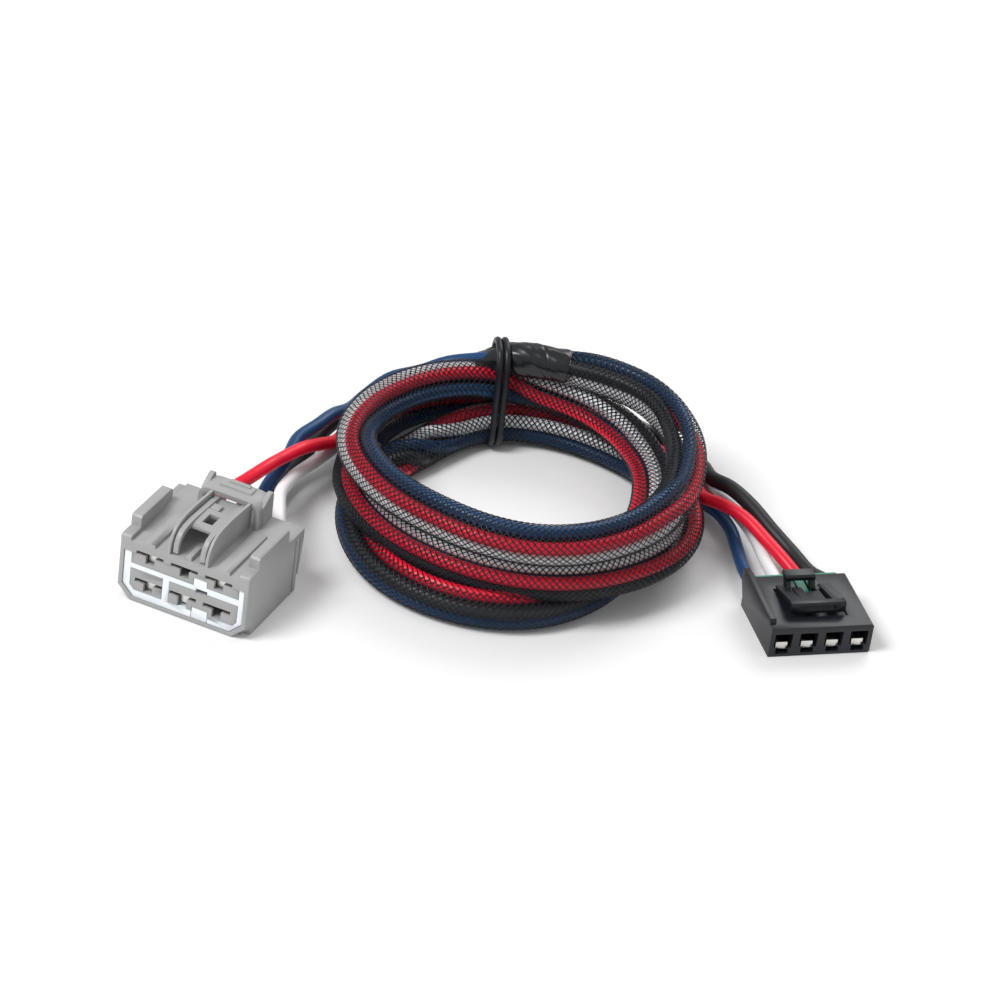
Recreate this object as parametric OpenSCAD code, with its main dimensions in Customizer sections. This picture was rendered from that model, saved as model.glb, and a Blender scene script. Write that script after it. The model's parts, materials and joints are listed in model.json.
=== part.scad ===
// Wiring adapter harness for a trailer brake controller.
// A six-way vehicle connector and a four-way controller connector are joined by
// four wires, which run in a braided sleeve that is coiled and tied.
// The coil's centre is straight behind the origin. +Y points from the connectors to it.

/* [Vehicle connector] */
// Width of the vehicle connector
vehicle_w = 37.2; // [36.8:0.1:38]
// Depth of the vehicle connector, front to rear
vehicle_d = 31; // [30:0.5:34]
// Height of the vehicle connector's flat top
vehicle_h = 18; // [17.8:0.1:18.6]
// Distance between neighbouring vehicle cavities
vehicle_pitch = 10; // [9.8:0.1:10.2]
// Thickness of the vehicle connector's outer shell
vehicle_wall = 1.1; // [0.8:0.1:1.3]
// Turn of the vehicle connector on the table, degrees
vehicle_yaw = -20.5; // [-30:0.5:0]

/* [Controller connector] */
// Width of the controller connector
controller_w = 28.3; // [28:0.1:29]
// Depth of the controller connector, front to rear
controller_d = 24; // [23:0.5:26]
// Height of the controller connector's flat top
controller_h = 8.9; // [8.7:0.1:9.4]
// Distance between neighbouring controller cavities
controller_pitch = 7; // [6.8:0.1:7.1]
// Turn of the controller connector on the table, degrees
controller_yaw = 18.5; // [0:0.5:30]

/* [Wires] */
// Outer diameter of the blue, red and white wires
wire_d = 3.6; // [3.2:0.1:3.8]
// Outer diameter of the black ground wire
ground_d = 4.2; // [3.8:0.1:4.4]
// Diameter of the bare copper in the crimps
copper_d = 2; // [1.6:0.1:2.2]

/* [Sleeve coil] */
// Inner radius of the coil
coil_in = 31; // [30:0.5:34]
// Outer radius of the coil
coil_out = 50; // [49:0.5:50]
// Height of the coil, three layers of sleeve
coil_h = 32; // [31:0.5:33]
// Diameter of the sleeve over its four wires
sleeve_d = 10.5; // [10:0.5:11]

/* [Moving parts] */
// Clearance around each moving part
clearance = 0.15; // [0.1:0.05:0.2]

/* [Hidden] */
$fn = 48;
eps = 0.01;
vehicle_at = [-81, -22.5, 0];
controller_at = [85, 1.8, 0];
coil_at = [0, 42, 0];

// Colours
housing_grey = [0.62, 0.63, 0.63];
holder_white = [0.9, 0.94, 0.97];
housing_black = [0.13, 0.13, 0.14];
lock_green = [0.2, 0.55, 0.42];
tin = [0.82, 0.81, 0.78];
copper = [0.8, 0.45, 0.25];
sleeve_black = [0.08, 0.08, 0.1];
wire_red = [0.85, 0.08, 0.1];
wire_blue = [0.1, 0.25, 0.6];
wire_white = [0.93, 0.93, 0.93];
wire_black = [0.12, 0.12, 0.12];

// A vehicle cavity is a slot for the blade over a notch, then a chamber and a bore.
slot_w = 7.9;
slot_h = 1.2;
notch_w = 2.6;
top_slot_z = 15.2;
bottom_slot_z = 6.6;
chamber_w = 8.2;
chamber_h = 3.6;
chamber_start = 1.4;
chamber_end = 24;
bore_start = 23;
bore_play = 0.3;
pocket_depth = 9;
chamfer = 3.8;
collar_depth = 2.6;
rail_w = 2.9;
rail_h = 22.6;
tower_face = 0.3;
tower_step = 1.7;
// Rows of wire holes in the rear face
top_wire_z = 14;
bottom_wire_z = 5.5;
// Latch lever: its hinge line and its place between the guard walls
latch_x = 0.6;
latch_hinge_y = 1.4;
latch_hinge_z = 18.75;
latch_half_w = 4.6;
guard_gap = 0.5;
strap_w = 1.4;
guard_w = 0.8;
arch_y = 22.8;
arch_half_w = 9;
arch_h = 25.7;
arch_end = 29.8;
rear_slant = 2.4;

// A controller cavity, and the hinge line of the see-saw latch
contact_w = 3.2;
controller_wire_z = 4.2;
seesaw_y = 16.8;
seesaw_z = 9.05;

// Wire ends: [cavity x, wire hole z] in the vehicle connector, [x] in the controller's
red_cavity = [-vehicle_pitch, top_wire_z];
white_cavity = [vehicle_pitch, top_wire_z];
black_cavity = [-vehicle_pitch, bottom_wire_z];
blue_cavity = [0, bottom_wire_z];

// Placing in the connectors' own axes: x across, y from front to rear, z up
function turned(p, a) = [p[0]*cos(a) - p[1]*sin(a), p[0]*sin(a) + p[1]*cos(a), p[2]];
function vehicle_point(p) = vehicle_at + turned(p, vehicle_yaw);
function controller_point(p) = controller_at + turned(p, controller_yaw);
function in_vehicle(points) = [for (p = points) vehicle_point(p)];
function in_controller(points) = [for (p = points) controller_point(p)];

module on_vehicle() {
  translate(vehicle_at) rotate([0, 0, vehicle_yaw]) children();
}

module on_controller() {
  translate(controller_at) rotate([0, 0, controller_yaw]) children();
}

// A box given by its lowest and highest corners
module box(low, high) {
  translate(low) cube(high - low);
}

// A front-view outline (x, z) extruded from y0 to y1
module along_y(y0, y1) {
  translate([0, y1, 0]) rotate([90, 0, 0]) linear_extrude(y1 - y0) children();
}

// A side-view outline (y, z) extruded from x0 to x1
module along_x(x0, x1) {
  translate([x0, 0, 0]) rotate([90, 0, 90]) linear_extrude(x1 - x0) children();
}

module y_cylinder(x, y0, y1, z, d) {
  translate([x, y1, z]) rotate([90, 0, 0]) cylinder(d = d, h = y1 - y0);
}

// ---------- Vehicle connector ----------

module vehicle_outline(inset) {
  w = vehicle_w/2 - inset;
  cut = chamfer - inset*0.4;
  polygon([[-w, cut + inset], [-w + cut, inset], [w - cut, inset], [w, cut + inset],
           [w, vehicle_h - inset], [-w, vehicle_h - inset]]);
}

// The towers that stand in the front opening, seen from the front
module tower_outline(grow) {
  translate([-15.2 - grow, 11.4 - grow]) square([18 + 2*grow, 5.6 + 2*grow]);
  translate([6.8 - grow, 11.8 - grow]) square([9 + 2*grow, 5.2 + 2*grow]);
  translate([2 - grow, 13.6 - grow]) square([6 + 2*grow, 3.4 + 2*grow]);
  polygon([[-15.2 - grow, 4.6], [-14 - grow, 3.4 - grow], [-6 + grow, 3.4 - grow],
           [-6 + grow, 9.7 + grow], [-15.2 - grow, 9.7 + grow]]);
  translate([-3.9 - grow, 3.4 - grow]) square([6.8 + 2*grow, 6.3 + 2*grow]);
  translate([2 - grow, 4.6 - grow]) square([6.5 + 2*grow, 5.1 + 2*grow]);
  polygon([[7.6 - grow, 3.4 - grow], [14.6 + grow, 3.4 - grow], [15.8 + grow, 4.6],
           [15.8 + grow, 9.7 + grow], [7.6 - grow, 9.7 + grow]]);
}

// Behind the face the towers widen to wrap their cavities.
module deep_tower_outline(grow) {
  tower_outline(grow);
  for (x = [-1, 0, 1], z = [top_slot_z - 3.4, bottom_slot_z - 3.3])
    translate([x*vehicle_pitch - chamber_w/2 - 0.5 - grow, z - grow])
      square([chamber_w + 1 + 2*grow, chamber_h + 1 + 2*grow]);
}

module holder_opening(inset) {
  intersection() {
    vehicle_outline(vehicle_wall + inset);
    translate([-vehicle_w/2, 0]) square([vehicle_w, 14.9 - inset]);
  }
}

module vehicle_cavity(x, slot_z, wire_z, notch_drop) {
  box([x - slot_w/2, -eps, slot_z - slot_h/2], [x + slot_w/2, 3, slot_z + slot_h/2]);
  box([x - notch_w/2, -eps, slot_z - notch_drop], [x + notch_w/2, 3, slot_z]);
  box([x - chamber_w/2, chamber_start, slot_z + slot_h/2 + 0.1 - chamber_h],
      [x + chamber_w/2, pocket_depth + 1.5, slot_z + slot_h/2 + 0.1]);
  box([x - chamber_w/2, pocket_depth + 1, wire_z - 2.4], [x + chamber_w/2, chamber_end, wire_z + 2.4]);
}

module side_rail(side) {
  outer = side*vehicle_w/2;
  inner = side*(vehicle_w/2 - rail_w);
  along_x(min(outer, inner), max(outer, inner))
    polygon([[0, vehicle_h - 1], [0, vehicle_h + 0.9], [0.6, vehicle_h + 1.3],
             [5, vehicle_h + 1.3], [5, rail_h - 0.6], [5.6, rail_h],
             [21.2, rail_h], [21.8, rail_h - 0.6], [21.8, vehicle_h - 1]]);
}

module guard_wall(x0) {
  along_x(x0, x0 + guard_w)
    polygon([[0.2, vehicle_h - 0.5], [0.2, 19.6], [0.7, 21.4], [1.6, 23], [3, 24.4],
             [5, 25.4], [8, 26], [12, 26.1], [18, 25.8], [23.5, 25.4],
             [23.5, vehicle_h - 0.5]]);
}

// A flat outline with two rounded top corners
module arch_outline(half_w, low, top, r) {
  polygon(concat([[-half_w, low]],
                 [for (a = [180:-22.5:90]) [-half_w + r + r*cos(a), top - r + r*sin(a)]],
                 [for (a = [90:-22.5:0]) [half_w - r + r*cos(a), top - r + r*sin(a)]],
                 [[half_w, low]]));
}

module latch_arch() {
  along_y(arch_y, arch_end) difference() {
    arch_outline(arch_half_w, vehicle_h - 0.5, arch_h, 3);
    arch_outline(arch_half_w - 1.4, vehicle_h - 1, arch_h - 1.5, 2);
  }
  // Raised pad with a lip on the arch, and a fin along each side of it
  box([-4.4, 25.8, arch_h - 0.4], [4.8, 28.9, arch_h + 0.5]);
  box([-2.6, 27.6, arch_h], [3.4, 28.9, arch_h + 0.9]);
  for (s = [-1, 1]) along_x(s*(arch_half_w - 0.5) - 0.7, s*(arch_half_w - 0.5) + 0.7)
    polygon([[25, vehicle_h - 0.5], [25, 24], [28.8, 26.4], [30, 26.2],
             [30.4, 25.4], [30.4, vehicle_h - 0.5]]);
}

module vehicle_shell() {
  difference() {
    along_y(0, collar_depth) vehicle_outline(0);
    along_y(-eps, collar_depth + 1) holder_opening(0);
  }
  difference() {
    along_x(-vehicle_w/2, vehicle_w/2)
      polygon([[collar_depth - 0.2, 0], [vehicle_d - rear_slant, 0], [vehicle_d, 13.5],
               [vehicle_d, vehicle_h], [collar_depth - 0.2, vehicle_h]]);
    along_y(0, pocket_depth) holder_opening(0);
    // The corner behind the collar is cut back, so the chamfered collar stands free
    for (s = [-1, 1]) translate([s*vehicle_w/2, 0, 0]) rotate([0, 45, 0])
      box([-1.8, collar_depth - 1, -1.8], [1.8, 3.6, 1.8]);
  }
  along_y(tower_face, tower_step) tower_outline(0);
  along_y(tower_step, pocket_depth + 1) deep_tower_outline(0);
}

module vehicle_top() {
  for (s = [-1, 1]) side_rail(s);
  // Two low ribs on each side of the latch and the raised rear of the top
  box([-12.2, 0.2, vehicle_h - 0.5], [-8.8, 23, vehicle_h + 0.9]);
  box([8.9, 0.2, vehicle_h - 0.5], [12.8, 21, vehicle_h + 0.9]);
  along_x(-vehicle_w/2 + rail_w - 0.5, -arch_half_w + 0.5)
    polygon([[16, vehicle_h - 0.5], [16, vehicle_h], [20, vehicle_h + 0.9],
             [vehicle_d, vehicle_h + 0.9], [vehicle_d, vehicle_h - 0.5]]);
  guard_wall(latch_x - latch_half_w - guard_gap - guard_w);
  guard_wall(latch_x + latch_half_w + guard_gap);
  box([0.2, 0.4, vehicle_h - 0.5], [1.6, 6, vehicle_h + 1.2]);
}

module vehicle_housing() {
  color(housing_grey) on_vehicle() difference() {
    union() {
      vehicle_shell();
      vehicle_top();
      latch_arch();
    }
    for (x = [-1, 0, 1]) {
      vehicle_cavity(x*vehicle_pitch, top_slot_z, top_wire_z, 2.8);
      vehicle_cavity(x*vehicle_pitch, bottom_slot_z, bottom_wire_z, x == 0 ? 3.3 : 2.9);
    }
    for (c = [red_cavity, white_cavity, blue_cavity, [0, top_wire_z], [vehicle_pitch, bottom_wire_z]])
      y_cylinder(c[0], bore_start, vehicle_d + 1, c[1], wire_d + bore_play);
    y_cylinder(black_cavity[0], bore_start, vehicle_d + 1, black_cavity[1], ground_d + bore_play);
    // Two shallow upright grooves on the right side near the rear
    for (y = [26.2, 28.6]) box([vehicle_w/2 - 0.5, y, -1], [vehicle_w/2 + 1, y + 0.8, 16.5]);
    // Dip in the top edge of the lower middle tower
    box([3.6, -eps, 9.2], [7, 3, 10.2]);
  }
}

// A spring lever: two curved straps rise from the front. They carry a plate with a window,
// and behind it a lower shelf with a catch on it.
module vehicle_latch() {
  color(housing_grey) on_vehicle() translate([latch_x, 0, 0]) difference() {
    union() {
      for (x = [-latch_half_w, latch_half_w - strap_w]) along_x(x, x + strap_w) {
        polygon([[0.9, 19], [1, 21], [1.9, 22.8], [3.3, 24], [5.5, 24.6], [9, 24.9], [20, 24.4],
                 [22, 24], [24.5, 24], [24.5, 22.2], [15, 22.2], [9, 23], [6, 23.2], [4.2, 22.6],
                 [3, 21.7], [2.2, 20.4], [1.9, 19]]);
        translate([latch_hinge_y, latch_hinge_z]) circle(r = 0.6);
      }
      along_x(-latch_half_w + 0.5, latch_half_w - 0.5)
        polygon([[7.4, 22.9], [7.4, 23.7], [9, 24.2], [16.4, 24.2], [16.4, 22.9]]);
      along_x(-latch_half_w + 0.5, latch_half_w - 0.5)
        polygon([[16, 22.2], [16, 23.4], [17.4, 22.9], [23, 23.3], [23, 22.2]]);
      box([-3.4, 17, 22.4], [-0.6, 19.8, 23.9]);
    }
    box([-1.5, 9.8, 22], [1.5, 14.2, 26]);
  }
}

// The white holder locks the terminals. It fills the front around the towers.
module vehicle_front_holder() {
  color(holder_white) on_vehicle() difference() {
    union() {
      along_y(0.3, tower_step - clearance) difference() {
        holder_opening(clearance);
        tower_outline(clearance);
      }
      along_y(tower_step - clearance, pocket_depth - clearance) difference() {
        holder_opening(clearance);
        deep_tower_outline(clearance);
      }
    }
    // Gaps on both sides of its bottom tongue, and a thumbnail step
    box([2.7, -1, 0], [2.95, 5, 3.2]);
    box([7.35, -1, 0], [7.6, 5, 3.2]);
    box([3.6, -1, 9.6], [7, 1.5, 10.6]);
  }
}

// Receptacle for a 6.3 mm blade, with its neck and crimp, lying along +y from the front
module vehicle_terminal(x, slot_z, wire_z, d) {
  z0 = slot_z - 2.6;
  color(tin) on_vehicle() {
    difference() {
      box([x - 3.7, tower_step + 0.1, z0], [x + 3.7, 12, slot_z + 0.5]);
      box([x - 3.3, 0, slot_z - 0.4], [x + 3.3, 11, slot_z + 0.3]);
      for (side = [-1, 1]) box([x + side*2.4 - 1, 0, z0 + 0.4], [x + side*2.4 + 1, 11, slot_z - 0.7]);
    }
    box([x - 1.6, 11.5, wire_z - 1.4], [x + 1.6, 15, wire_z - 0.8]);
    difference() {
      y_cylinder(x, 14.5, 22, wire_z, d*0.8);
      y_cylinder(x, 14, 23, wire_z, copper_d);
    }
  }
}

// ---------- Controller connector ----------

module controller_outline() {
  w = controller_w/2;
  c = 0.5;
  polygon([[-w, 0], [w - c, 0], [w, c], [w, controller_h - c], [w - c, controller_h],
           [-w, controller_h]]);
}

module controller_housing() {
  w = controller_w/2;
  color(housing_black) on_controller() difference() {
    union() {
      along_y(0, controller_d) controller_outline();
      // Bar across the rear face below the wires
      box([-12.4, controller_d - 0.5, 0.4], [13, controller_d + 0.6, 1.4]);
      // Keying wall along the left side
      along_x(-w, -w + 1.7)
        polygon([[2.2, 0], [2.2, 9.4], [2.8, 10.3], [24, 10.5], [26.8, 10], [26.6, 7], [22.4, 0]]);
    }
    // Shallow tray under the latch
    box([-8.4, 4.8, controller_h - 0.6], [8.4, 18.2, controller_h + 1]);
    for (i = [0:3]) {
      x = (i - 1.5)*controller_pitch;
      box([x - 2.45, -eps, 2.6], [x + 2.45, 12, 7]);
      box([x - 1.8, -eps, 0.9], [x + 1.8, 16, 3]);
      box([x - 2.2, 10, 1.6], [x + 2.2, 16, 6.4]);
      y_cylinder(x, 15, controller_d + 1, controller_wire_z, (i == 3 ? ground_d : wire_d) + bore_play);
    }
    // Slots for the terminal lock and its tongue
    box([-11.8, 16, 7.05], [11.8, controller_d + 1, 8.05]);
    box([-1.8, 13.5, 7.05], [1.8, controller_d + 1, controller_h + 1]);
  }
}

// A see-saw latch: pressing the rear pad lifts the front bar off the mating catch.
module controller_latch() {
  color(housing_black) on_controller() difference() {
    union() {
      along_x(-7.6, 7.6)
        polygon([[5.4, 9.6], [5.4, 12.2], [5.8, 12.6], [7.4, 12.6], [7.4, 11.2], [6.4, 9.6]]);
      // Sloping arms and the tongue between them
      for (span = [[-7.6, -4], [4.2, 7.6]]) along_x(span[0], span[1])
        polygon([[6.8, 11.2], [6.8, 12.6], [7.4, 12.6], [18.6, 9.7], [18.6, 9.2], [16, 9.2]]);
      along_x(-4.2, 2.4)
        polygon([[6.8, 11.4], [6.8, 12.6], [7.4, 12.6], [15.4, 11], [15.4, 10.1], [13, 10.4]]);
      // Pivots in the tray, and the legs that hold up the thumb pad
      for (span = [[-7.6, -2.4], [2.2, 7.6]]) along_x(span[0], span[1]) {
        translate([seesaw_y, seesaw_z]) circle(r = 0.6);
        polygon([[16.2, 9.05], [17.4, 9.05], [17.4, 9.8], [16.2, 9.8]]);
      }
      for (span = [[-5.4, -4.2], [1.4, 2.6]]) along_x(span[0], span[1])
        polygon([[15.8, 9.3], [15.8, 10.2], [17.6, 12.4], [20.2, 12.4], [18.6, 9.6]]);
      along_x(-5.6, 2.6)
        polygon([[17, 12], [17, 13], [17.5, 13.5], [20.2, 13.6], [20.8, 13], [20.8, 12.4], [20.4, 12]]);
    }
    // Pocket in the front bar with a sloping floor
    along_x(-3.4, 4.6) polygon([[5, 10.3], [5, 11.8], [6.4, 11.8], [5.5, 10.3]]);
    // Slot over the terminal lock's tongue
    box([-1.7, 12.6, 8], [1.9, 15.6, 12.5]);
  }
}

module controller_terminal_lock() {
  color(lock_green) on_controller() {
    box([-11.5, 16.4, 7.2], [11.5, controller_d + 0.9, 7.9]);
    box([-11.5, controller_d + clearance, 7.2], [11.5, controller_d + 0.9, 8.7]);
    box([-1.2, 14, 7.2], [1.2, controller_d + 0.9, controller_h - 0.1]);
  }
}

module controller_terminal(x, d) {
  color(tin) on_controller() {
    difference() {
      box([x - contact_w/2, 0.9, 1.9], [x + contact_w/2, 11, 4]);
      box([x - 1.2, 2, 2.3], [x + 1.2, 12, 3.6]);
    }
    box([x - contact_w/2, 9, 3.9], [x + contact_w/2, 11, 5.6]);
    difference() {
      y_cylinder(x, 10.9, 14.8, controller_wire_z - 0.4, d*0.75);
      y_cylinder(x, 10.5, 15.5, controller_wire_z - 0.4, copper_d);
    }
  }
}

// ---------- Wires ----------

// A round tube swept along its route's points, with one ring of sides at each point
module tube(points, d, sides = 8) {
  n = len(points);
  along = [for (i = [0:n - 1]) let (a = points[max(i - 1, 0)], b = points[min(i + 1, n - 1)])
           (b - a)/norm(b - a)];
  rings = [for (i = [0:n - 1])
    let (side0 = cross(along[i], [0, 0, 1]), side = side0/norm(side0), up = cross(side, along[i]))
    for (k = [0:sides - 1]) let (a = 360*(k + 0.5)/sides)
    points[i] + d/2*(cos(a)*side + sin(a)*up)];
  walls = [for (i = [0:n - 2], k = [0:sides - 1]) let (m = (k + 1) % sides)
           [i*sides + k, i*sides + m, (i + 1)*sides + m, (i + 1)*sides + k]];
  polyhedron(points = rings,
             faces = concat([[for (k = [sides - 1:-1:0]) k]], walls,
                            [[for (k = [0:sides - 1]) (n - 1)*sides + k]]));
}

// Where the four wires leave a taped end: the centre, the way out and the way to the right
tape_start = [-14.2, 90.3, 19.8];
tape_start_out = [-0.8, 0.34, -0.494];
tape_end = [42.8, 80.4, 5.35];
tape_end_out = [cos(-43), sin(-43), 0];
function bundle(centre, out, right, up) =
  let (level = cross(out, [0, 0, 1]), across = level/norm(level), rise = cross(across, out))
  [for (step = [2, 0]) centre + out*step + across*right + rise*up];

// Inside a connector a wire runs straight to its crimp.
function vehicle_lead(c) = in_vehicle([[c[0], 22.5, c[1]], [c[0], vehicle_d + 2, c[1]]]);
function controller_lead(i) = let (x = (i - 1.5)*controller_pitch)
  in_controller([[x, 15.3, controller_wire_z], [x, controller_d + 2.6, controller_wire_z]]);

red_vehicle_route = concat(vehicle_lead(red_cavity), in_vehicle([[-8.4, 38.5, 15.2]]),
  [[-71.5, 19.5, 17], [-65.5, 28, 18], [-63, 33.5, 17], [-58, 41, 16.5], [-54, 49, 13.5], [-50, 57, 10.5],
   [-47, 64.5, 11.2], [-42.5, 73, 13], [-38, 78.6, 14.8], [-30.5, 84.9, 16.6], [-23.5, 87.3, 17]],
  bundle(tape_start, tape_start_out, -2.5, 1.2));
white_vehicle_route = concat(vehicle_lead(white_cavity), in_vehicle([[7, 39.5, 14]]),
  [[-61.5, 24, 12.5], [-60, 33, 11], [-58, 41, 9], [-54.5, 50, 7.5], [-51, 58, 7], [-46.5, 69.5, 7.5],
   [-37, 80.5, 11.1], [-30.5, 86, 12.4], [-23.5, 88.4, 13.2]],
  bundle(tape_start, tape_start_out, -1.5, -2.3));
black_vehicle_route = concat(vehicle_lead(black_cavity), in_vehicle([[-8, 48, 4.5]]),
  [[-65.5, 35, 4.8], [-63, 43, 5], [-59.5, 50.5, 6], [-56.5, 57, 8], [-53.6, 65.5, 8.5], [-49.5, 73.8, 8.4],
   [-43.5, 81, 8], [-37.5, 88, 12.6], [-30.5, 91.6, 13.7], [-23.5, 92.7, 14.2]],
  bundle(tape_start, tape_start_out, 2.7, -1.6));
blue_vehicle_route = concat(vehicle_lead(blue_cavity), in_vehicle([[-3, 46.5, 7.5]]),
  [[-65.5, 29, 11], [-63.5, 35.5, 12], [-61.5, 41.5, 13.5], [-60, 48, 15], [-55.5, 55.5, 15.5],
   [-52, 63, 15], [-48, 70.5, 13], [-44.5, 78.5, 13], [-38.5, 84.8, 15.8], [-30.5, 89, 17],
   [-23.5, 92, 19.2]],
  bundle(tape_start, tape_start_out, 1.6, 2.7));

blue_controller_route = concat(controller_lead(0),
  [[64, 31, 4], [62, 41, 3.6], [60, 49.5, 4], [56.5, 57.5, 3.8], [52, 63.5, 3.2], [47, 71.5, 3.2]],
  bundle(tape_end, tape_end_out, 2, -1.9));
white_controller_route = concat(controller_lead(1),
  [[71.5, 31.5, 4.2], [69, 38.5, 4.5], [66, 47.5, 5], [61.2, 57.2, 5], [55.5, 66.3, 4.5], [50, 74.3, 3.6]],
  bundle(tape_end, tape_end_out, -1.9, -1.9));
red_controller_route = concat(controller_lead(2),
  [[74.4, 34.5, 6.6], [69, 41, 8.2], [63, 47.5, 10], [57, 52.5, 10], [51.5, 57.5, 8.5], [49.5, 64, 7.5],
   [47, 72, 7]],
  bundle(tape_end, tape_end_out, 2, 2));
black_controller_route = concat(controller_lead(3),
  [[82, 33.2, 4.4], [76.5, 41.5, 5], [70.5, 48, 7.2], [64.5, 55.5, 9.2], [58.5, 62, 10], [53.5, 66.6, 9.2],
   [49.8, 75, 8.3]],
  bundle(tape_end, tape_end_out, -2.1, 2.1));

module wire_red_vehicle_end() { color(wire_red) tube(red_vehicle_route, wire_d); }
module wire_white_vehicle_end() { color(wire_white) tube(white_vehicle_route, wire_d); }
module wire_black_vehicle_end() { color(wire_black) tube(black_vehicle_route, ground_d); }
module wire_blue_vehicle_end() { color(wire_blue) tube(blue_vehicle_route, wire_d); }
module wire_blue_controller_end() { color(wire_blue) tube(blue_controller_route, wire_d); }
module wire_white_controller_end() { color(wire_white) tube(white_controller_route, wire_d); }
module wire_red_controller_end() { color(wire_red) tube(red_controller_route, wire_d); }
module wire_black_controller_end() { color(wire_black) tube(black_controller_route, ground_d); }

module vehicle_conductors() {
  color(copper) on_vehicle()
    for (c = [red_cavity, white_cavity, black_cavity, blue_cavity])
      y_cylinder(c[0], 15.5, 22.5, c[1], copper_d);
}

module controller_conductors() {
  color(copper) on_controller()
    for (i = [0:3]) y_cylinder((i - 1.5)*controller_pitch, 11.5, 15.3, controller_wire_z - 0.4, copper_d);
}

// ---------- Sleeve, tape and tie ----------

// The tie passes round the back of the coil, a little left of its middle.
tie_angle = 98;
tie_w = 4;
tie_t = 1.6;
tie_in = 33;
tie_out = 50.4;
tie_out_top = 52.6;
tie_top = 31.1;
tie_foot = 1.7;
tape_d = 9.6;
tape_level = 19.5;

module at_tie() {
  translate(coil_at) rotate([0, 0, tie_angle]) children();
}

// The tie is wider above the sleeve's tail, where it goes round the tape.
module tie_outline(grow) {
  polygon([[tie_in - grow, tie_foot - grow], [tie_out + grow, tie_foot - grow],
           [tie_out + grow, 11.5], [tie_out_top + grow, 14.5],
           [tie_out_top + grow, tie_top + grow], [tie_in - grow, tie_top + grow]]);
}

module coil_ring() {
  r = 4;
  translate(coil_at) rotate_extrude($fn = 96) {
    translate([coil_in, r]) square([coil_out - coil_in, coil_h - 2*r]);
    translate([coil_in + r, 0]) square([coil_out - coil_in - 2*r, coil_h]);
    for (x = [coil_in + r, coil_out - r], z = [r, coil_h - r]) translate([x, z]) circle(r = r);
  }
}

module sleeve_coil() {
  color(sleeve_black) difference() {
    coil_ring();
    // The first turn starts here, so the top layer is missing at the back left,
    // and the outer edge is cut back where the wires come up to it.
    box([-60, 66, tape_level], [11.2, 100, coil_h + 1]);
    box([-28, 82, 11], [-8, 100, coil_h + 1]);
    at_tie() translate([0, -tie_w/2, 0]) {
      box([0, 0, -1], [70, tie_w, tie_foot]);
      box([tie_out, 0, -1], [70, tie_w, coil_h + 1]);
      box([0, 0, -1], [tie_in, tie_w, coil_h + 1]);
    }
  }
}

// The last stretch of sleeve lies on the table behind the coil.
tail_z = sleeve_d/2 + 0.1;
tail_end = tail_point(52, 56);
tail_out = (tail_end - tail_point(62, 57))/norm(tail_end - tail_point(62, 57));
function tail_point(a, r) = coil_at + [r*cos(a), r*sin(a), tail_z];

module sleeve_tail() {
  color(sleeve_black)
    tube([tail_point(126, 55.5), tail_point(116, 56.5), tail_point(106, 57.2), tail_point(96, 57.4),
          tail_point(84, 57.4), tail_point(73, 57.2), tail_point(62, 57), tail_end], sleeve_d, 12);
}

module tape_wrap_end() {
  color(wire_black)
    tube([tail_end, tail_end + 1.5*tail_out, tape_end - 1.5*tape_end_out, tape_end], tape_d, 12);
}

module tape_wrap_start() {
  color(wire_black)
    tube([[11, 86.6, 26.1], [3, 86.7, 26.2], [-8.3, 86.8, 25.4],
          tape_start - 3.2*tape_start_out, tape_start], tape_d, 12);
}

module cable_tie() {
  color(wire_black) at_tie() translate([0, tie_w/2, 0]) rotate([90, 0, 0])
    linear_extrude(tie_w) difference() {
      tie_outline(tie_t);
      tie_outline(0);
    }
}

vehicle_housing();
vehicle_latch();
vehicle_front_holder();
vehicle_terminal(red_cavity[0], top_slot_z, top_wire_z, wire_d);  // vehicle_terminal_red
vehicle_terminal(white_cavity[0], top_slot_z, top_wire_z, wire_d);  // vehicle_terminal_white
vehicle_terminal(black_cavity[0], bottom_slot_z, bottom_wire_z, ground_d);  // vehicle_terminal_black
vehicle_terminal(blue_cavity[0], bottom_slot_z, bottom_wire_z, wire_d);  // vehicle_terminal_blue
vehicle_conductors();
controller_housing();
controller_latch();
controller_terminal_lock();
controller_terminal(-1.5*controller_pitch, wire_d);  // controller_terminal_blue
controller_terminal(-0.5*controller_pitch, wire_d);  // controller_terminal_white
controller_terminal(0.5*controller_pitch, wire_d);  // controller_terminal_red
controller_terminal(1.5*controller_pitch, ground_d);  // controller_terminal_black
controller_conductors();
wire_red_vehicle_end();
wire_white_vehicle_end();
wire_black_vehicle_end();
wire_blue_vehicle_end();
wire_blue_controller_end();
wire_white_controller_end();
wire_red_controller_end();
wire_black_controller_end();
sleeve_coil();
sleeve_tail();
tape_wrap_start();
tape_wrap_end();
cable_tie();
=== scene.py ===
import json
import math

import bpy
import numpy as np
from mathutils import Matrix, Vector, noise


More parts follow.
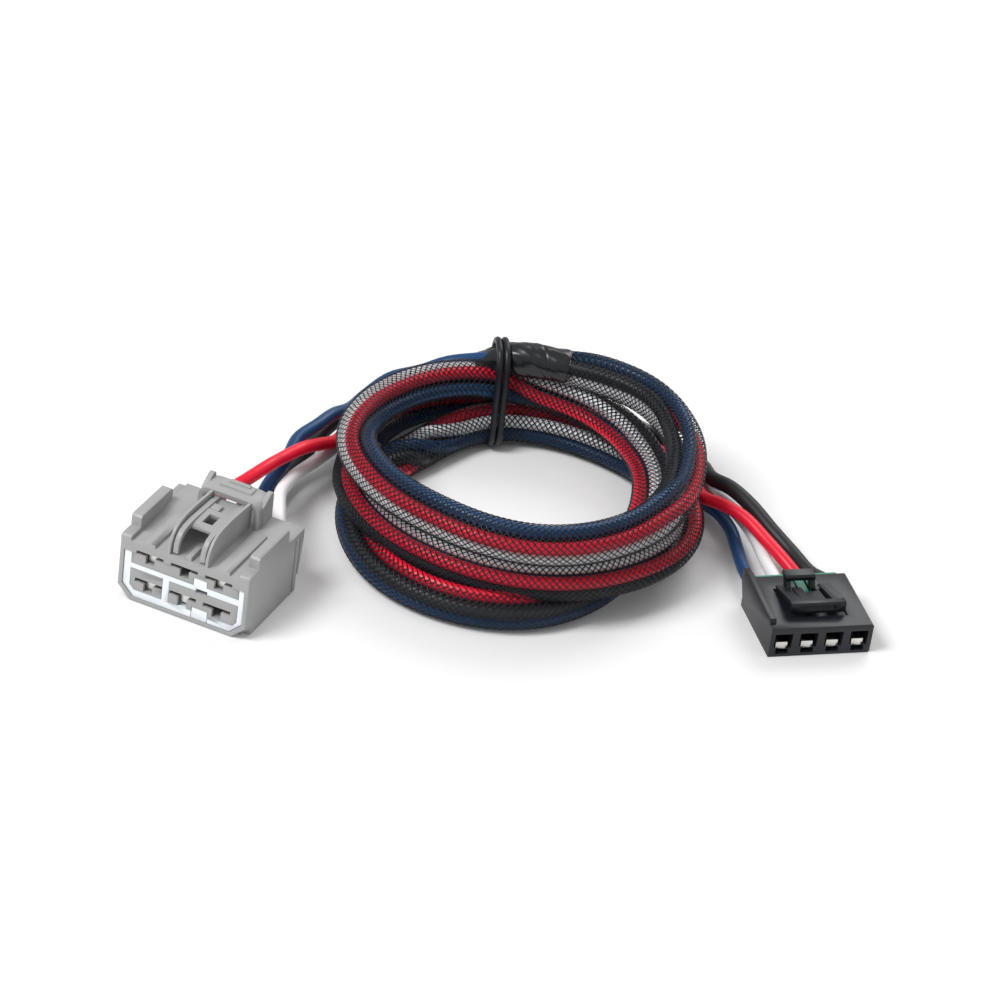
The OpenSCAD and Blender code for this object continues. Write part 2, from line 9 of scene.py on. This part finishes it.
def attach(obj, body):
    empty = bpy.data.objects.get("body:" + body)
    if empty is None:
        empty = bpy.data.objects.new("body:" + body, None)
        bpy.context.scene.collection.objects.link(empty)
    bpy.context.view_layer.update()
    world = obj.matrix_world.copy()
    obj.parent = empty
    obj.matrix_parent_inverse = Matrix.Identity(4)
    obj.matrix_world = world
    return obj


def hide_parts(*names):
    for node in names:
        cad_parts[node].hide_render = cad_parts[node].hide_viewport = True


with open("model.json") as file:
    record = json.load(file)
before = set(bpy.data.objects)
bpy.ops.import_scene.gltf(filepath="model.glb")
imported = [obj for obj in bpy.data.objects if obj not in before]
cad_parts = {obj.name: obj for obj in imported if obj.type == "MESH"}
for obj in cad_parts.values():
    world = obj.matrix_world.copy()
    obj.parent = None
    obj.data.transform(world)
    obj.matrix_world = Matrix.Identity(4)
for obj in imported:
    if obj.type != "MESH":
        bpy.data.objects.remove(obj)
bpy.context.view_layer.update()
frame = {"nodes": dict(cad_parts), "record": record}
nodes = frame["nodes"]

MM = 0.001
SAMPLE = 0.54 * MM
UP = np.array([0.0, 0.0, 1.0])
joints = {j["name"]: j for j in frame["record"]["behaviour"]["joints"]}


# ---------- Camera ----------

def make_camera():
    """The camera looks down at the harness, with a slight roll."""
    aim = Vector((-0.0035, 0.055, 0.0))
    distance, tilt, roll = 1.096, math.radians(32.5), math.radians(8)
    forward = Vector((0, math.cos(tilt), -math.sin(tilt)))
    level_right = Vector((1, 0, 0))
    level_up = Vector((0, math.sin(tilt), math.cos(tilt)))
    right = level_right * math.cos(roll) + level_up * math.sin(roll)
    up = level_up * math.cos(roll) - level_right * math.sin(roll)
    data = bpy.data.cameras.new("camera")
    data.lens, data.sensor_width = 144, 36
    data.clip_start, data.clip_end = 0.01, 10
    camera = bpy.data.objects.new("camera", data)
    bpy.context.scene.collection.objects.link(camera)
    turn = Matrix((right, up, -forward)).transposed().to_4x4()
    camera.matrix_world = Matrix.Translation(aim - forward * distance) @ turn
    bpy.context.scene.camera = camera


# ---------- Places in the frame ----------

class Connector:
    """A connector's own axes: x across, y from its mating face to its wires, z up."""

    def __init__(self, joint, hinge):
        self.x = np.array(joints[joint]["axis"], float)
        self.y = np.cross(UP, self.x)
        self.origin = np.array(joints[joint]["pos_m"], float) - self.turned(hinge)

    def turned(self, point):
        x, y, z = point
        return (self.x * x + self.y * y + UP * z) * MM

    def at(self, *points):
        return [self.origin + self.turned(p) for p in points]


vehicle = Connector("vehicle_latch_press", (0.6, 1.4, 18.75))
controller = Connector("controller_latch_press", (0, 16.8, 9.05))
COIL = np.array([0, 42, 0]) * MM


def millimetres(*points):
    return [np.array(p, float) * MM for p in points]


# ---------- Lines and tubes ----------

def spline(points, step):
    """A smooth line through the points, resampled at an even step."""
    p = np.array(points, float)
    p = np.vstack([2 * p[0] - p[1], p, 2 * p[-1] - p[-2]])
    knots = np.concatenate([[0], np.cumsum(np.sqrt(np.linalg.norm(np.diff(p, axis=0), axis=1)))])
    out = []
    for i in range(1, len(p) - 2):
        t0, t1, t2, t3 = knots[i - 1:i + 3]
        count = max(4, int(np.linalg.norm(p[i + 1] - p[i]) / (0.4 * MM)))
        t = np.linspace(t1, t2, count, endpoint=i == len(p) - 3)[:, None]
        a1 = (t1 - t) / (t1 - t0) * p[i - 1] + (t - t0) / (t1 - t0) * p[i]
        a2 = (t2 - t) / (t2 - t1) * p[i] + (t - t1) / (t2 - t1) * p[i + 1]
        a3 = (t3 - t) / (t3 - t2) * p[i + 1] + (t - t2) / (t3 - t2) * p[i + 2]
        b1 = (t2 - t) / (t2 - t0) * a1 + (t - t0) / (t2 - t0) * a2
        b2 = (t3 - t) / (t3 - t1) * a2 + (t - t1) / (t3 - t1) * a3
        out.append((t2 - t) / (t2 - t1) * b1 + (t - t1) / (t2 - t1) * b2)
    return even(np.vstack(out), step)


def arc_lengths(line):
    return np.concatenate([[0], np.cumsum(np.linalg.norm(np.diff(line, axis=0), axis=1))])


def even(line, step):
    run = arc_lengths(line)
    where = np.linspace(0, run[-1], max(2, int(round(run[-1] / step)) + 1))
    return np.column_stack([np.interp(where, run, line[:, k]) for k in range(3)])


def unit(v):
    return v / np.linalg.norm(v, axis=-1, keepdims=True)


def axes_along(line):
    """For each point of a line: its direction, the level direction to its right, and up."""
    forward = unit(np.gradient(line, axis=0))
    right = unit(np.cross(forward, UP))
    return forward, right, np.cross(right, forward)


def mesh_object(name, vertices, quads, extra_faces=()):
    """A smooth-shaded mesh from an array of vertices and an array of quads."""
    mesh = bpy.data.meshes.new(name)
    faces = [tuple(f) for f in extra_faces]
    corners = [np.asarray(quads, np.int32).ravel()] + [np.array(f, np.int32) for f in faces]
    corners = np.concatenate(corners)
    sizes = np.array([4] * len(quads) + [len(f) for f in faces], np.int32)
    starts = np.concatenate([[0], np.cumsum(sizes)[:-1]]).astype(np.int32)
    mesh.vertices.add(len(vertices))
    mesh.vertices.foreach_set("co", np.asarray(vertices, np.float32).ravel())
    mesh.loops.add(len(corners))
    mesh.loops.foreach_set("vertex_index", corners)
    mesh.polygons.add(len(sizes))
    mesh.polygons.foreach_set("loop_start", starts)
    mesh.polygons.foreach_set("loop_total", sizes)
    mesh.update(calc_edges=True)
    mesh.validate()
    mesh.polygons.foreach_set("use_smooth", np.ones(len(mesh.polygons), bool))
    piece = bpy.data.objects.new(name, mesh)
    bpy.context.scene.collection.objects.link(piece)
    return piece


def ring_quads(rings, sides):
    """The quads between neighbouring rings of a tube."""
    start = np.arange(rings - 1)[:, None] * sides
    side = np.arange(sides)[None, :]
    following = (side + 1) % sides
    after = start + sides
    quads = np.stack([start + side, start + following, after + following, after + side], -1)
    return quads.reshape(-1, 4)


def tube(name, line, radius, sides=20):
    """A tube along a line. The radius is one number, or one for each ring and side."""
    _, right, up = axes_along(line)
    angle = np.linspace(0, 2 * math.pi, sides, endpoint=False)
    radius = np.broadcast_to(radius, (len(line), sides))[..., None]
    around = np.cos(angle)[None, :, None] * right[:, None] + np.sin(angle)[None, :, None] * up[:, None]
    vertices = (line[:, None] + radius * around).reshape(-1, 3)
    last = (len(line) - 1) * sides
    caps = [range(sides), range(last + sides - 1, last - 1, -1)]
    return mesh_object(name, vertices, ring_quads(len(line), sides), caps)


def closed_tube(name, loop, radius, sides):
    """A round tube along a smooth closed loop in an upright plane."""
    p = np.array(loop, float)
    t = np.linspace(0, 1, 12, endpoint=False)[:, None]
    pieces = []
    for i in range(len(p)):
        a, b, c, d = p[i - 1], p[i], p[(i + 1) % len(p)], p[(i + 2) % len(p)]
        pieces.append(0.5 * (2 * b + (c - a) * t + (2 * a - 5 * b + 4 * c - d) * t**2
                             + (3 * b - a - 3 * c + d) * t**3))
    line = np.vstack(pieces)
    forward = unit(np.roll(line, -1, axis=0) - np.roll(line, 1, axis=0))
    flat = unit(np.cross(forward[0], forward[len(line) // 4]))
    outward = np.cross(forward, flat)
    angle = np.linspace(0, 2 * math.pi, sides, endpoint=False)
    ring = np.cos(angle)[None, :, None] * outward[:, None] + np.sin(angle)[None, :, None] * flat
    vertices = (line[:, None] + radius * ring).reshape(-1, 3)
    quads = ring_quads(len(line) + 1, sides) % len(vertices)
    return mesh_object(name, vertices, quads)


# ---------- Route of the sleeve ----------

# One row for each point: degrees round the coil from its back, clockwise from
# above, then the distance from its centre and the height, in millimetres.
SLEEVE_ROUTE = [
    (-16.3, 50.4, 19.8), (-11.5, 47.2, 24.2), (-7, 45.6, 26.1), (0, 45, 26.6), (8, 44.9, 26.5),
    (22, 46.6, 26.3), (40, 48.6, 25.8), (65, 47, 25), (90, 44.6, 24.5), (130, 44.5, 24),
    (166, 44.5, 24), (212, 41, 24), (245, 42, 23), (270, 44, 21.5), (306, 45, 20.5),
    (338, 45.5, 19.5), (360, 45.5, 17.5), (389, 44.5, 15.5),
    (415, 41, 14.5), (443, 37.2, 13.5), (475, 36.5, 9.5), (504, 41, 6.2), (536, 47.5, 5.6),
    (576, 48.5, 5.6), (605, 44.5, 5.6), (630, 40.5, 5.6), (670, 36.5, 5.6), (713, 44, 6.5),
    (756, 46, 6), (806, 46.5, 9), (846, 46.5, 12.5), (884, 45, 13.5), (936, 43.2, 14),
    (979, 43.6, 12), (1000, 44.4, 9), (1015, 47, 7), (1030, 52, 6),
    (1045, 55.8, 5.7), (1072, 57.3, 5.6), (1098, 57, 5.6), (1118, 55.8, 5.6),
]


def sleeve_line(step):
    """The middle of the sleeve, from its taped start to its taped end."""
    table = np.array(SLEEVE_ROUTE, float)
    turn = np.arange(table[0, 0], table[-1, 0], 1.0)
    slope = np.gradient(table[:, 1:], table[:, 0], axis=0)
    index = np.clip(np.searchsorted(table[:, 0], turn, "right") - 1, 0, len(table) - 2)
    gap = (table[index + 1, 0] - table[index, 0])[:, None]
    t = ((turn - table[index, 0]) / gap[:, 0])[:, None]
    here, after = table[index, 1:], table[index + 1, 1:]
    smooth = (
        (2 * t**3 - 3 * t**2 + 1) * here
        + (t**3 - 2 * t**2 + t) * gap * slope[index]
        + (3 * t**2 - 2 * t**3) * after
        + (t**3 - t**2) * gap * slope[index + 1]
    )
    bearing = np.radians(90 - turn)
    reach = smooth[:, 0] * MM
    line = COIL + np.column_stack([reach * np.cos(bearing), reach * np.sin(bearing), smooth[:, 1] * MM])
    return even(line, step)


# ---------- Wires ----------

WIRE_R = 1.8 * MM
GROUND_R = 2.1 * MM

# Each wire's route from its crimp in the vehicle connector to the sleeve, and from its crimp
# in the controller connector to the sleeve.
VEHICLE_ROUTES = {
    "red": vehicle.at((-10, 22.5, 14), (-10, 33, 14), (-8.4, 38.5, 15.2))
    + millimetres((-71.5, 19.5, 17), (-65.5, 28, 18), (-63, 33.5, 17), (-58, 41, 16.5), (-54, 49, 13.5),
                  (-50, 57, 10.5), (-47, 64.5, 11.2), (-42.5, 73, 13), (-38, 78.6, 14.8),
                  (-30.5, 84.9, 16.6), (-23.5, 87.3, 17)),
    "white": vehicle.at((10, 22.5, 14), (10, 33, 14), (7, 39.5, 14))
    + millimetres((-61.5, 24, 12.5), (-60, 33, 11), (-58, 41, 9), (-54.5, 50, 7.5), (-51, 58, 7),
                  (-46.5, 69.5, 7.5), (-37, 80.5, 11.1), (-30.5, 86, 12.4), (-23.5, 88.4, 13.2)),
    "black": vehicle.at((-10, 22.5, 5.5), (-10, 33, 5.5), (-8, 48, 4.5))
    + millimetres((-65.5, 35, 4.8), (-63, 43, 5), (-59.5, 50.5, 6), (-56.5, 57, 8), (-53.6, 65.5, 8.5),
                  (-49.5, 73.8, 8.4), (-43.5, 81, 8), (-37.5, 88, 12.6), (-30.5, 91.6, 13.7),
                  (-23.5, 92.7, 14.2)),
    "blue": vehicle.at((0, 22.5, 5.5), (0, 33, 5.5), (-3, 46.5, 7.5))
    + millimetres((-65.5, 29, 11), (-63.5, 35.5, 12), (-61.5, 41.5, 13.5), (-60, 48, 15),
                  (-55.5, 55.5, 15.5), (-52, 63, 15), (-48, 70.5, 13), (-44.5, 78.5, 13),
                  (-38.5, 84.8, 15.8), (-30.5, 89, 17), (-23.5, 92, 19.2)),
}
CONTROLLER_ROUTES = {
    "blue": controller.at((-10.5, 15.3, 4.2), (-10.5, 26.6, 4.2))
    + millimetres((64, 31, 4), (62, 41, 3.6), (60, 49.5, 4), (56.5, 57.5, 3.8), (52, 63.5, 3.2),
                  (47, 71.5, 3.2)),
    "white": controller.at((-3.5, 15.3, 4.2), (-3.5, 26.6, 4.2))
    + millimetres((71.5, 31.5, 4.2), (69, 38.5, 4.5), (66, 47.5, 5), (61.2, 57.2, 5), (55.5, 66.3, 4.5),
                  (50, 74.3, 3.6)),
    "red": controller.at((3.5, 15.3, 4.2), (3.5, 26.6, 4.2))
    + millimetres((74.4, 34.5, 6.6), (69, 41, 8.2), (63, 47.5, 10), (57, 52.5, 10), (51.5, 57.5, 8.5),
                  (49.5, 64, 7.5), (47, 72, 7)),
    "black": controller.at((10.5, 15.3, 4.2), (10.5, 26.6, 4.2))
    + millimetres((82, 33.2, 4.4), (76.5, 41.5, 5), (70.5, 48, 7.2), (64.5, 55.5, 9.2), (58.5, 62, 10),
                  (53.5, 66.6, 9.2), (49.8, 75, 8.3)),
}

# How the four wires lie in the sleeve. At each turn, in degrees round the coil as above, the
# place of each wire round the bundle, in degrees: 0 faces up and forward, and 90 is the side
# nearest the coil's middle. The wires change places here and there, as loose wires do.
BUNDLE_TURNS = [
    # turn, blue, red, white, black
    (-16.3, -30, 60, -210, -120),
    (14, -90, -180, -270, 0),
    (40, -90, -180, -270, 0),
    (90, 0, -90, -180, 90),
    (125, 75, -15, -105, 165),
    (300, 75, -15, -105, 165),
    (345, 60, -30, -120, 150),
    (368, 135, 45, -45, 225),
    (415, 165, 75, -15, 255),
    (445, 165, 75, -15, 255),
    (515, 270, 62, 165, 345),
    (650, 270, 62, 165, 345),
    (695, 450, 270, 360, 540),
    (770, 450, 270, 360, 540),
    (860, 525, 345, 435, 615),
    (985, 525, 345, 435, 615),
    (1060, 436, 355, 540, 620),
    (1116, 436, 355, 540, 620),
]
BUNDLE_COLUMN = {"blue": 1, "red": 2, "white": 3, "black": 4}
BUNDLE_HALF_WIDTH = 3.4 * MM
BUNDLE_HALF_DEPTH = 2.1 * MM
FACING = np.array([0.0, -0.84, 0.54])


def section_axes(line):
    """The sleeve has settled a little flat: its flat side faces up and forward."""
    along = unit(np.gradient(line, axis=0))
    face = unit(FACING - (along @ FACING)[:, None] * along)
    return face, np.cross(along, face)


def coil_turn(line):
    """How far round the coil each point of the sleeve is, in degrees."""
    bearing = np.unwrap(np.arctan2(line[:, 1] - COIL[1], line[:, 0] - COIL[0]))
    turn = 90 - np.degrees(bearing)
    return turn + SLEEVE_ROUTE[0][0] - turn[0]


TIGHTENING = 0.27
TIGHT_START = 30 * MM
TIGHT_END = 5 * MM


def squeeze(line):
    """The tape pulls the bundle tight at both ends of the sleeve."""
    run = arc_lengths(line)
    start = np.exp(-((run / TIGHT_START) ** 6))
    end = np.exp(-(((run[-1] - run) / TIGHT_END) ** 2))
    return 1 - TIGHTENING * (start + end)


def in_sleeve(colour, line):
    """The wire's own line inside the sleeve."""
    table = np.array(BUNDLE_TURNS, float)
    turn = np.clip(coil_turn(line), table[0, 0], table[-1, 0])
    row = np.clip(np.searchsorted(table[:, 0], turn, "right") - 1, 0, len(table) - 2)
    t = (turn - table[row, 0]) / (table[row + 1, 0] - table[row, 0])
    column = table[:, BUNDLE_COLUMN[colour]]
    angle = np.radians(column[row] + (column[row + 1] - column[row]) * t * t * (3 - 2 * t))
    depth = np.sign(np.cos(angle)) * np.sqrt(np.abs(np.cos(angle))) * BUNDLE_HALF_DEPTH
    width = BUNDLE_HALF_WIDTH * np.sin(angle)
    tight = squeeze(line)
    face, side = section_axes(line)
    return line + (tight * depth)[:, None] * face + (tight * width)[:, None] * side


def make_wires(line):
    wires = {}
    for colour in ("red", "white", "black", "blue"):
        inside = in_sleeve(colour, even(line, 6 * MM))[1:-1]
        points = VEHICLE_ROUTES[colour] + list(inside) + CONTROLLER_ROUTES[colour][::-1]
        path = spline(points, 2 * MM)
        radius = GROUND_R if colour == "black" else WIRE_R
        wire = tube(f"wire_{colour}", path, radius)
        wires[colour] = wire
        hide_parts(f"wire_{colour}_vehicle_end", f"wire_{colour}_controller_end")
        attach(wire, "harness")
        wire.data.materials.append(wire_material(colour))
    return wires


# ---------- Braided sleeve ----------

SLEEVE_R = 4.95 * MM
SLEEVE_HALF_WIDTH = 5.4 * MM
SLEEVE_HALF_DEPTH = 4.3 * MM
STRANDS_EACH_WAY = 18
STRAND_WIDTH = 0.34 * MM
STRAND_THICKNESS = 0.16 * MM
WEAVE_DEPTH = 0.12 * MM
BRAID_PIECES = 4


def strand(line, run, axes, tight, index, way):
    """One flat strand of the braid. It winds round the sleeve and passes over two strands,
    then under two, of the other family."""
    face, side = axes
    pitch = 2 * math.pi * SLEEVE_R
    crossings = 2 * STRANDS_EACH_WAY * run / pitch
    angle = 2 * math.pi * index / STRANDS_EACH_WAY + way * 2 * math.pi * run / pitch
    lift = way * WEAVE_DEPTH * np.cos(math.pi / 2 * (2 * index + way * crossings - 0.5))
    cos, sin = np.cos(angle), np.sin(angle)
    outward = unit(
        (cos / SLEEVE_HALF_DEPTH)[:, None] * face + (sin / SLEEVE_HALF_WIDTH)[:, None] * side
    )
    skin = (
        (tight * cos * SLEEVE_HALF_DEPTH)[:, None] * face
        + (tight * sin * SLEEVE_HALF_WIDTH)[:, None] * side
    )
    middle = line + skin + lift[:, None] * outward
    along = unit(np.gradient(middle, axis=0))
    across = unit(np.cross(along, outward))
    sideways = across * STRAND_WIDTH / 2
    through = outward * STRAND_THICKNESS / 2
    return np.stack([middle + sideways, middle + through, middle - sideways, middle - through], 1)


def make_braid(line):
    """The braid, as four pieces of strands. Each piece has its share of both families."""
    run = arc_lengths(line)
    axes = section_axes(line)
    tight = squeeze(line)
    quads = ring_quads(len(line), 4)
    strands = [(i, way) for i in range(STRANDS_EACH_WAY) for way in (1, -1)]
    share = len(strands) // BRAID_PIECES
    pieces = []
    for k in range(BRAID_PIECES):
        chosen = strands[k * share:(k + 1) * share]
        own = [strand(line, run, axes, tight, i, way) for i, way in chosen]
        vertices = np.concatenate(own).reshape(-1, 3)
        size = len(line) * 4
        faces = np.concatenate([quads + j * size for j in range(len(own))])
        ends = [[j * size + c for c in range(4)] for j in range(len(own))]
        ends += [[(j + 1) * size - 1 - c for c in range(4)] for j in range(len(own))]
        piece = mesh_object(f"sleeve_braid_{k + 1}", vertices, faces, ends)
        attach(piece, "harness")
        piece.data.materials.append(braid_material())
        pieces.append(piece)
    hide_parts("sleeve_coil", "sleeve_tail")
    return pieces


# ---------- Tape and tie ----------

TIE_TURN = -11
TIE_PINCH = 0.7 * MM
TAPE_WIDTH = 11 * MM
TAPE_THICKNESS = 0.16 * MM
TAPE_STEP = 0.25 * MM


def wrapped_tape(name, path, start_r, end_r, seed):
    """Vinyl tape wound in a spiral: a lapped edge, long folds and soft wrinkles. The tie
    presses it in at one turn of the coil."""
    sides = 96
    run = arc_lengths(path)
    share = run / run[-1]
    bearing = np.degrees(np.arctan2(path[:, 0] - COIL[0], path[:, 1] - COIL[1]))
    pinch = TIE_PINCH * np.exp(-(((bearing - TIE_TURN) / 4) ** 2))
    angle = np.linspace(0, 2 * math.pi, sides, endpoint=False)
    base = start_r + (end_r - start_r) * share * share * (3 - 2 * share)
    lap = (run[:, None] / TAPE_WIDTH + angle[None, :] / (2 * math.pi)) % 1
    radius = base[:, None] + TAPE_THICKNESS * np.clip(lap * 14, 0, 1)
    wrinkle = np.empty_like(radius)
    for i, s in enumerate(run / MM):
        for j, a in enumerate(angle):
            cos, sin = math.cos(a + 0.12 * s), math.sin(a + 0.12 * s)
            fold = noise.noise(Vector((s * 0.1, 1.2 * cos + seed, 1.3 * sin)))
            crease = noise.noise(Vector((s * 0.2, 1.9 * cos, 1.9 * sin + seed)))
            wrinkle[i, j] = 0.38 * fold + 0.28 * (0.35 - abs(crease))
    radius = radius + wrinkle * MM
    radius = radius - pinch[:, None]
    edge = np.minimum(run, run[-1] - run)
    radius = radius - 0.5 * MM * np.exp(-edge / (0.3 * MM))[:, None]
    return tube(name, path, radius, sides)


def make_tapes(line):
    """One wrap over the sleeve's first stretch, to just right of the tie, and one at its end."""
    run = arc_lengths(line)
    first = line[(run < 40 * MM) & (line[:, 0] < 11 * MM)]
    start = wrapped_tape("tape_start", even(first, TAPE_STEP), 4.3 * MM, 4.6 * MM, 3.0)
    last = line[run > run[-1] - 9 * MM]
    end = wrapped_tape("tape_end", even(last, TAPE_STEP), 5.1 * MM, 4.8 * MM, 11.0)
    for piece, node in ((start, "tape_wrap_start"), (end, "tape_wrap_end")):
        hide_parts(node)
        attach(piece, "harness")
        piece.data.materials.append(tape_material())
    return [start, end]


TIE_STRAND_R = 0.98 * MM
TIE_STRAND_SHIFT = 1.02
# The tie's outline across the bundle: distance from the coil's middle and height.
TIE_OUTLINE = [(46, 30.6), (49.3, 29.6), (51.2, 26.5), (51.6, 21), (51, 12), (49.6, 4), (45, 1.6),
               (39.5, 2.2), (37.2, 5), (37.4, 9), (38.2, 16), (38.8, 22), (39.8, 26.6), (42.2, 29.6)]


def make_tie():
    """Two strands of coated wire, side by side, round the back of the coil."""
    bearing = math.radians(90 - TIE_TURN)
    outward = np.array([math.cos(bearing), math.sin(bearing), 0])
    sideways = np.array([-math.sin(bearing), math.cos(bearing), 0])
    strands = []
    for k, shift in enumerate((-TIE_STRAND_SHIFT, TIE_STRAND_SHIFT)):
        loop = [COIL + (outward * r + sideways * shift + UP * z) * MM for r, z in TIE_OUTLINE]
        strands.append(closed_tube(f"tie_strand_{k + 1}", loop, TIE_STRAND_R, 14))
    for piece in strands:
        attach(piece, "harness")
        piece.data.materials.append(tie_material())
    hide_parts("cable_tie")
    return strands


# ---------- Materials ----------

made = {}


def material(name, colour, roughness, metallic=0.0, bump=(), **sockets):
    """A principled material with layered noise bumps: (scale, strength, distance)."""
    if name in made:
        return made[name]
    mat = bpy.data.materials.new(name)
    mat.use_nodes = True
    tree = mat.node_tree
    shader = tree.nodes["Principled BSDF"]
    shader.inputs["Base Color"].default_value = (*colour, 1)
    shader.inputs["Roughness"].default_value = roughness
    shader.inputs["Metallic"].default_value = metallic
    for socket, value in sockets.items():
        shader.inputs[socket.replace("_", " ")].default_value = value
    place = tree.nodes.new("ShaderNodeTexCoord")
    previous = None
    for scale, strength, distance in bump:
        texture = tree.nodes.new("ShaderNodeTexNoise")
        texture.inputs["Scale"].default_value = scale
        texture.inputs["Detail"].default_value = 3
        tree.links.new(place.outputs["Object"], texture.inputs["Vector"])
        layer = tree.nodes.new("ShaderNodeBump")
        layer.inputs["Strength"].default_value = strength
        layer.inputs["Distance"].default_value = distance
        tree.links.new(texture.outputs["Fac"], layer.inputs["Height"])
        if previous:
            tree.links.new(previous.outputs["Normal"], layer.inputs["Normal"])
        previous = layer
    if previous:
        tree.links.new(previous.outputs["Normal"], shader.inputs["Normal"])
    made[name] = mat
    return mat


def vary_colour(mat, scale, amount):
    """Slightly uneven colour, as moulded plastic has."""
    tree = mat.node_tree
    shader = tree.nodes["Principled BSDF"]
    if shader.inputs["Base Color"].is_linked:
        return mat
    colour = shader.inputs["Base Color"].default_value[:3]
    place = tree.nodes.new("ShaderNodeTexCoord")
    texture = tree.nodes.new("ShaderNodeTexNoise")
    texture.inputs["Scale"].default_value = scale
    texture.inputs["Detail"].default_value = 4
    ramp = tree.nodes.new("ShaderNodeValToRGB")
    ramp.color_ramp.elements[0].position = 0.3
    ramp.color_ramp.elements[1].position = 0.7
    ramp.color_ramp.elements[0].color = (*[c * (1 - amount) for c in colour], 1)
    ramp.color_ramp.elements[1].color = (*[min(1, c * (1 + amount)) for c in colour], 1)
    tree.links.new(place.outputs["Object"], texture.inputs["Vector"])
    tree.links.new(texture.outputs["Fac"], ramp.inputs["Fac"])
    tree.links.new(ramp.outputs["Color"], shader.inputs["Base Color"])
    return mat


WIRE_COLOURS = {
    "red": (0.8, 0.008, 0.035),
    "white": (0.86, 0.86, 0.88),
    "black": (0.014, 0.015, 0.018),
    "blue": (0.008, 0.052, 0.15),
}


def wire_material(colour):
    mat = material(f"{colour} insulation", WIRE_COLOURS[colour], 0.45 if colour == "black" else 0.36,
                   bump=[(160, 0.12, 0.0004), (1600, 0.06, 0.0001)], Specular_IOR_Level=0.35)
    return vary_colour(mat, 60, 0.06)


def braid_material():
    mat = material("braid monofilament", (0.006, 0.009, 0.015), 0.32, bump=[(2500, 0.15, 0.00005)],
                   Specular_IOR_Level=0.4)
    return vary_colour(mat, 300, 0.35)


def tape_material():
    mat = material("vinyl tape", (0.009, 0.011, 0.014), 0.24,
                   bump=[(150, 0.08, 0.0006), (2600, 0.05, 0.0001)])
    return vary_colour(mat, 120, 0.25)


def tie_material():
    mat = material("tie coating", (0.008, 0.01, 0.014), 0.38, bump=[(700, 0.25, 0.0002)],
                   Specular_IOR_Level=0.4)
    return vary_colour(mat, 150, 0.2)


def housing_grey():
    mat = material("grey nylon", (0.345, 0.345, 0.343), 0.42,
                   bump=[(900, 0.1, 0.0002), (4200, 0.16, 0.00006)])
    return vary_colour(mat, 90, 0.035)


def holder_white():
    mat = material("white nylon", (0.82, 0.87, 0.92), 0.35, bump=[(1500, 0.12, 0.0001)])
    return vary_colour(mat, 120, 0.03)


def housing_black():
    mat = material("black nylon", (0.011, 0.013, 0.018), 0.36,
                   bump=[(1200, 0.12, 0.00015), (5000, 0.14, 0.00005)], Specular_IOR_Level=0.4)
    return vary_colour(mat, 200, 0.15)


def lock_green():
    mat = material("green nylon", (0.03, 0.28, 0.17), 0.4, bump=[(1800, 0.12, 0.0001)])
    return vary_colour(mat, 150, 0.06)


def tinned():
    return material("tinned metal", (0.7, 0.69, 0.66), 0.28, metallic=1.0, bump=[(1800, 0.12, 0.0001)])


def bare_copper():
    return material("copper", (0.85, 0.4, 0.2), 0.3, metallic=1.0, bump=[(2500, 0.2, 0.0001)])


FINISHES = {
    "housing_grey": housing_grey,
    "holder_white": holder_white,
    "housing_black": housing_black,
    "lock_green": lock_green,
    "tinned_terminal": tinned,
    "copper_strands": bare_copper,
}


def edge_radius(name):
    """The terminals, the lock and the latches have finer edges than the housings."""
    if "terminal_" in name or "conductors" in name:
        return 0.08 * MM
    if "latch" in name:
        return 0.1 * MM
    return 0.22 * MM


def finish_cad_nodes():
    """Rounded edges and a finish for each CAD node that stays showing."""
    slots = {s["node"]: s["material_slot"] for s in frame["record"]["subparts"]}
    for name, node in nodes.items():
        if slots[name] not in FINISHES:
            continue
        node.data.materials.clear()
        node.data.materials.append(FINISHES[slots[name]]())
        weld = node.modifiers.new("weld", "WELD")
        weld.merge_threshold = 0.002 * MM
        bevel = node.modifiers.new("bevel", "BEVEL")
        bevel.width = edge_radius(name)
        bevel.segments = 2
        bevel.limit_method = "ANGLE"
        bevel.angle_limit = math.radians(30)
        bevel.harden_normals = True
        for polygon in node.data.polygons:
            polygon.use_smooth = True


# ---------- Stage ----------

def make_stage():
    bpy.ops.mesh.primitive_plane_add(size=6, location=(0, 0.5, 0))
    floor = bpy.context.object
    floor.name = "floor"
    mat = bpy.data.materials.new("floor")
    mat.use_nodes = True
    shader = mat.node_tree.nodes["Principled BSDF"]
    shader.inputs["Base Color"].default_value = (0.9, 0.9, 0.9, 1)
    shader.inputs["Roughness"].default_value = 0.7
    floor.data.materials.append(mat)
    world = bpy.data.worlds.new("world")
    bpy.context.scene.world = world
    world.use_nodes = True
    background = world.node_tree.nodes["Background"]
    background.inputs["Color"].default_value = (1, 1, 1, 1)
    background.inputs["Strength"].default_value = 0.5


def make_light(name, place, target, size, power):
    data = bpy.data.lights.new(name, "AREA")
    data.shape, data.size, data.energy = "SQUARE", size, power
    light = bpy.data.objects.new(name, data)
    light.location = place
    light.rotation_euler = (Vector(target) - Vector(place)).to_track_quat("-Z", "Y").to_euler()
    bpy.context.scene.collection.objects.link(light)


make_camera()
sleeve = sleeve_line(SAMPLE)
make_wires(sleeve)
braid = make_braid(sleeve)
tapes = make_tapes(sleeve)
tie = make_tie()
finish_cad_nodes()
make_stage()
make_light("key", (-0.6, -0.35, 0.95), (0, 0.04, 0), 0.45, 10)
make_light("back", (0.35, 0.8, 0.8), (0, 0.04, 0), 0.6, 4)
bpy.context.scene.view_settings.view_transform = "Standard"
